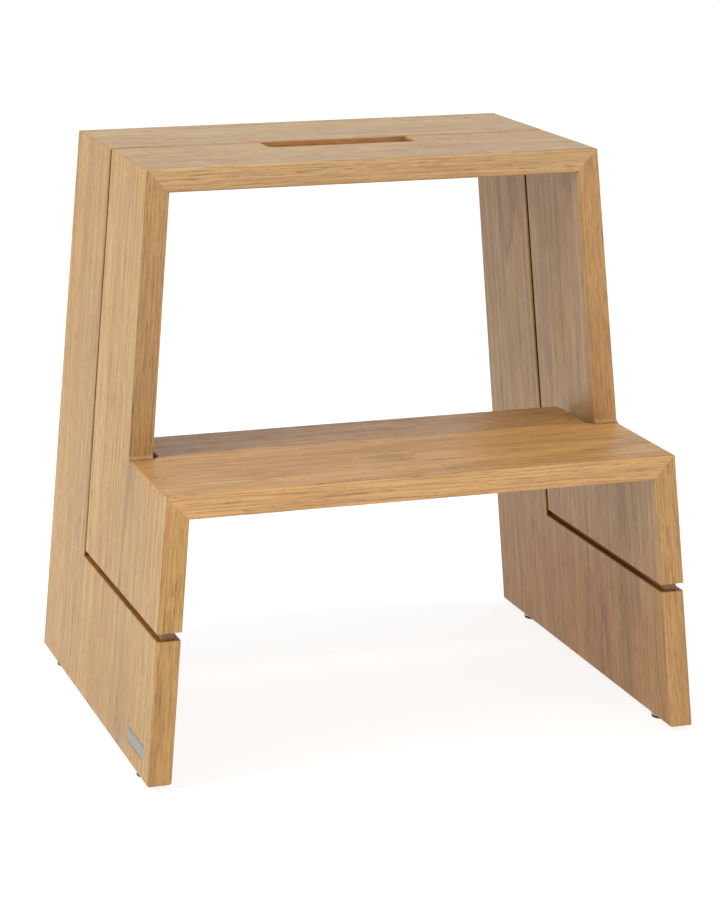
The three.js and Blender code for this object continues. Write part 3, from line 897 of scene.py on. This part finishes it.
def make_board(node, corners, material, slot, mirror_of=None, cutter=None):
    """The finer piece that stands for a CAD board. mirror_of names the board on the other side to copy."""
    bm = rounded(clean_board(mirror_of or node, mirrored=mirror_of is not None), node + "_blank")
    for side, half, level_z in corners:
        ease_corner(bm, side, half, level_z)
    name = "oak_" + node
    piece = new_object(name, board_mesh(bm, name))
    dress(piece.data, material)
    if cutter is not None:
        cut(piece, cutter)
    take_over(piece, node, slot)


def make_boards(oaks):
    """All seven boards. The left rear panel is the right one mirrored, with a recess for the plate."""
    top_corners = [(side, TOP_HALF, TOP_LEVEL) for side in SIDES.values()]
    step_corners = [(side, STEP_HALF, STEP_LEVEL) for side in SIDES.values()]
    for node in ("top_rear_board", "top_front_board"):
        make_board(node, top_corners, oaks["top"], "oak_tread")
    make_board("step_board", step_corners, oaks["step"], "oak_step")
    for word, top_corner, step_corner in zip(SIDES, top_corners, step_corners):
        mirror_of, recess = ("right_rear_panel", plate_recess()) if word == "left" else (None, None)
        make_board(f"{word}_rear_panel", [top_corner], oaks[word], "oak_side", mirror_of, recess)
        make_board(f"{word}_front_panel", [top_corner, step_corner], oaks[word], "oak_side")


# ---------------------------------------------------------------------------------------------------------
# Plate on the left foot
# ---------------------------------------------------------------------------------------------------------

PLATE_THICKNESS = 0.8 * MM
PLATE_CORNER = 3 * MM
PLATE_EDGE = 0.25 * MM
PLATE_EDGE_MIDDLE = 0.3 * PLATE_EDGE      # how far in and down the middle of the edge's round lies
PLATE_LINE_INSET = 1.1 * MM
PLATE_LINE_WIDTH = 0.4 * MM
PLATE_LINE_WALL = PLATE_LINE_WIDTH / 4    # how far each wall of the line leans in
PLATE_LINE_DEPTH = 0.3 * MM
PLATE_LEAST_CORNER = 0.2 * MM
RECESS_FIT = 0.3 * MM
RECESS_DEPTH = 1.8 * MM
CORNER_POINTS = 10


def plate_frame():
    """Turns a flat drawing (x along the plate, y up it, z out) to the plate's place, and gives its size."""
    length = plate_high.y - plate_low.y
    width = ((plate_high.z - plate_low.z) - PLATE_THICKNESS * math.sin(SPLAY)) / math.cos(SPLAY)
    out = Vector((-math.cos(SPLAY), 0.0, math.sin(SPLAY)))
    up = Vector((math.sin(SPLAY), 0.0, math.cos(SPLAY)))
    middle = (plate_low + plate_high) / 2 + out * PLATE_THICKNESS / 2
    turn = Matrix(((0.0, up.x, out.x), (-1.0, up.y, out.y), (0.0, up.z, out.z))).to_4x4()
    return Matrix.Translation(middle) @ turn, length, width


def round_rectangle(length, width, corner, z):
    """The outline of a rectangle with round corners, in a plane at height z."""
    points = []
    for turn, (sx, sy) in enumerate(((1, 1), (-1, 1), (-1, -1), (1, -1))):
        for i in range(CORNER_POINTS + 1):
            angle = math.pi / 2 * (turn + i / CORNER_POINTS)
            x = sx * (length / 2 - corner) + corner * math.cos(angle)
            y = sy * (width / 2 - corner) + corner * math.sin(angle)
            points.append(Vector((x, y, z)))
    return points


def loft(name, loops, placed):
    """A closed mesh through a list of loops of equal length, capped at both ends."""
    bm = bmesh.new()
    rows = [[bm.verts.new(placed @ point) for point in loop] for loop in loops]
    for low_row, high_row in zip(rows, rows[1:]):
        for i, vertex in enumerate(low_row):
            j = (i + 1) % len(low_row)
            bm.faces.new((vertex, low_row[j], high_row[j], high_row[i]))
    bm.faces.new(list(reversed(rows[0])))
    bm.faces.new(rows[-1])
    bm.normal_update()
    return written(bm, name)


def plate_recess():
    """The shape to take out of the panel for the plate."""
    placed, length, width = plate_frame()
    grown = (length + 2 * RECESS_FIT, width + 2 * RECESS_FIT, PLATE_CORNER + RECESS_FIT)
    loops = [round_rectangle(*grown, -RECESS_DEPTH), round_rectangle(*grown, RECESS_DEPTH)]
    return new_object("recess", loft("recess", loops, placed))


def make_plate(material):
    """A blank plate with softened edges and an engraved line inside its border."""
    placed, length, width = plate_frame()

    def loop(inset, depth):
        inset_corner = max(PLATE_CORNER - inset, PLATE_LEAST_CORNER)
        return round_rectangle(length - 2 * inset, width - 2 * inset, inset_corner, -depth)

    line_end = PLATE_LINE_INSET + PLATE_LINE_WIDTH
    loops = [
        loop(0.0, PLATE_THICKNESS),
        loop(0.0, PLATE_EDGE),
        loop(PLATE_EDGE_MIDDLE, PLATE_EDGE_MIDDLE),
        loop(PLATE_EDGE, 0.0),
        loop(PLATE_LINE_INSET, 0.0),
        loop(PLATE_LINE_INSET + PLATE_LINE_WALL, PLATE_LINE_DEPTH),
        loop(line_end - PLATE_LINE_WALL, PLATE_LINE_DEPTH),
        loop(line_end, 0.0),
    ]
    piece = new_object("blank_plate", loft("blank_plate", loops, placed))
    dress(piece.data, material)
    take_over(piece, "maker_plate", "plate_steel")


# ---------------------------------------------------------------------------------------------------------
# Glides
# ---------------------------------------------------------------------------------------------------------

LATHE_STEPS = 72
GLIDE_BORE = 1.5 * MM
GLIDE_TOP_ROUND = 0.45 * MM

# The two parts of a glide: CAD node, finer piece, slot, how much its lower rim is rounded
GLIDE_PARTS = (
    ("base", "foot", "glide_plastic", 0.9 * MM),
    ("disc", "cap", "glide_steel", 0.3 * MM),
)


def lathe(name, profile, middle):
    """A ring turned from a closed profile of (radius, height) pairs."""
    angles = [2 * math.pi * i / LATHE_STEPS for i in range(LATHE_STEPS)]
    bm = bmesh.new()
    rows = []
    for radius, height in profile:
        points = [middle + Vector((radius * math.cos(a), radius * math.sin(a), height)) for a in angles]
        rows.append([bm.verts.new(point) for point in points])
    for low_row, high_row in zip(rows, [*rows[1:], rows[0]]):
        for i, vertex in enumerate(low_row):
            j = (i + 1) % LATHE_STEPS
            bm.faces.new((vertex, low_row[j], high_row[j], high_row[i]))
    bmesh.ops.recalc_face_normals(bm, faces=bm.faces)
    return written(bm, name)


def quarter(centre_r, centre_z, radius, start, end, steps=5):
    """Points of an arc in the profile plane, from one angle to another in degrees."""
    angles = [math.radians(start + (end - start) * i / steps) for i in range(steps + 1)]
    return [(centre_r + radius * math.cos(a), centre_z + radius * math.sin(a)) for a in angles]


def make_glide_part(node, name, material, slot, low_round):
    """A ring with rounded rims in the place of one CAD base or disc."""
    low_corner, high_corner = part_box(node)
    radius = (high_corner.x - low_corner.x) / 2
    middle = (low_corner + high_corner) / 2
    middle.z = 0.0
    profile = [
        (GLIDE_BORE, low_corner.z),
        *quarter(radius - low_round, low_corner.z + low_round, low_round, -90, 0),
        *quarter(radius - GLIDE_TOP_ROUND, high_corner.z - GLIDE_TOP_ROUND, GLIDE_TOP_ROUND, 0, 90),
        (GLIDE_BORE, high_corner.z),
    ]
    piece = new_object(name, lathe(name, profile, middle))
    dress(piece.data, material)
    take_over(piece, node, slot)


def make_glides(materials):
    """All four glides. materials gives the material of each slot."""
    for word in SIDES:
        for end in ("front", "rear"):
            for part, finer, slot, low_round in GLIDE_PARTS:
                glide = f"{word}_{end}_glide_"
                make_glide_part(glide + part, glide + finer, materials[slot], slot, low_round)


# ---------------------------------------------------------------------------------------------------------
# Other materials
# ---------------------------------------------------------------------------------------------------------

# The two tones of each of these materials
ZINC = ((0.66, 0.64, 0.60), (0.50, 0.48, 0.44))
BRUSHED_STEEL = ((0.40, 0.385, 0.345), (0.29, 0.28, 0.25))
BLACK_PLASTIC = ((0.014, 0.014, 0.015), (0.034, 0.033, 0.032))
BEECH = ((0.62, 0.45, 0.27), (0.50, 0.33, 0.18))
GREY_FOAM = ((0.16, 0.16, 0.155), (0.32, 0.32, 0.31))

TARNISH = (0.30, 0.28, 0.25)
METAL_ROUGHNESS = (-0.07, 0.09)      # what the scratches add to a metal's roughness, from low to high
CLOUD_ROUGHNESS = 0.12               # what its clouding adds


def brushed_metal(name, light, dark, brush, roughness, wear):
    """Metal with fine parallel scratches. brush is the noise scale along each axis."""
    graph = Graph(name)
    place = graph.add("TexCoord").outputs["Object"]
    lines = graph.noise(graph.scaled(place, brush), detail=3.0, roughness=0.6)
    cloud = graph.noise(place, scale=90.0, detail=3.0)
    colour = graph.mix(graph.level(lines, low=0.3, high=0.7), dark, light)
    tarnish = graph.math("MULTIPLY", graph.level(cloud, low=0.5, high=0.8), wear)
    colour = graph.mix(tarnish, colour, TARNISH)
    least, most = (roughness + change for change in METAL_ROUGHNESS)
    rough = graph.level(lines, *NOISE_SPAN, least, most, smooth=False)
    rough = graph.math("MULTIPLY_ADD", cloud, CLOUD_ROUGHNESS, rough)
    graph.finish(graph.principled({
        "Base Color": colour,
        "Metallic": 1.0,
        "Roughness": rough,
        "Normal": graph.bump(lines, strength=0.25, distance=0.03 * MM),
    }))
    return graph.material


def moulded_plastic(name):
    """Black plastic with a fine moulded grain."""
    graph = Graph(name)
    place = graph.add("TexCoord").outputs["Object"]
    grain = graph.noise(place, scale=2600.0, detail=2.0)
    cloud = graph.noise(place, scale=160.0, detail=3.0)
    graph.finish(graph.principled({
        "Base Color": graph.mix(graph.level(cloud, low=0.35, high=0.75), *BLACK_PLASTIC),
        "Roughness": graph.level(grain, *NOISE_SPAN, out_low=0.42, out_high=0.62, smooth=False),
        "Normal": graph.bump(grain, strength=0.3, distance=0.05 * MM),
    }))
    return graph.material


def plain_wood(name, light, dark, stretch):
    """Close-grained wood for the hidden splines. stretch is the noise scale along each axis."""
    graph = Graph(name)
    place = graph.add("TexCoord").outputs["Object"]
    fibre = graph.noise(graph.scaled(place, stretch), detail=3.0, roughness=0.6)
    fleck = graph.noise(graph.scaled(place, tuple(2.5 * s for s in stretch)), detail=1.0)
    colour = graph.mix(graph.level(fibre, low=0.3, high=0.7), light, dark)
    flecked = graph.level(fleck, low=0.62, high=0.75, out_high=0.5)
    colour = graph.mix(flecked, colour, tuple(0.6 * c for c in dark))
    graph.finish(graph.principled({
        "Base Color": colour,
        "Roughness": graph.level(fibre, *NOISE_SPAN, out_low=0.5, out_high=0.66, smooth=False),
        "Normal": graph.bump(fibre, strength=0.3, distance=0.08 * MM),
    }))
    return graph.material


def foam(name):
    """Grey foam with fine cells."""
    graph = Graph(name)
    place = graph.add("TexCoord").outputs["Object"]
    cells = graph.add("TexVoronoi", {"Vector": place, "Scale": 2400.0}).outputs["Distance"]
    roughness = graph.level(cells, low=0.0, high=0.8, out_low=0.8, out_high=0.95, smooth=False)
    graph.finish(graph.principled({
        "Base Color": graph.mix(graph.level(cells, low=0.1, high=0.7), *GREY_FOAM),
        "Roughness": roughness,
        "Normal": graph.bump(cells, strength=0.5, distance=0.1 * MM),
    }))
    return graph.material


def make_kept_nodes(metal):
    """Materials for the CAD nodes that need no finer piece."""
    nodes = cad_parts
    beech = plain_wood("beech", *BEECH, stretch=(900.0, 40.0, 900.0))
    one_stave = [(CAD_LOW.y - BOARD, PLAIN, 0.0, 0.5)]
    one_stave_up = [(-BOARD, PLAIN, 0.0, 0.5)]
    for word, side in SIDES.items():
        turn = (0.0, side * SPLAY, 0.0)
        for node, grain, node_turn, staves, seed in (
            (f"top_tongue_{word}", "xyz", NO_TURN, one_stave, 41),
            (f"{word}_upright_tongue", "zyx", turn, one_stave, 43),
            (f"{word}_foot_tongue", "yzx", turn, one_stave_up, 47),
        ):
            dress(nodes[node].data, oak("oak_" + node, grain, node_turn, staves, seed, TONGUE_LOOK))
        for place in ("top_rear", "top_front", "step"):
            dress(nodes[f"{place}_spline_{word}"].data, beech)
        for end in ("front", "rear"):
            dress(nodes[f"{word}_{end}_glide_nail"].data, metal)
    dress(nodes["plate_pad"].data, foam("pad_foam"))


# ---------------------------------------------------------------------------------------------------------
# The whole scene
# ---------------------------------------------------------------------------------------------------------

make_camera()
make_studio()
make_floor()
make_boards(make_oaks())
zinc = brushed_metal("zinc", *ZINC, brush=(1400.0, 1400.0, 1400.0), roughness=0.38, wear=0.3)
steel = brushed_metal(
    "brushed_plate", *BRUSHED_STEEL, brush=(3000.0, 90.0, 3000.0), roughness=0.36, wear=0.2)
make_plate(steel)
make_glides({"glide_plastic": moulded_plastic("glide_black"), "glide_steel": zinc})
make_kept_nodes(zinc)
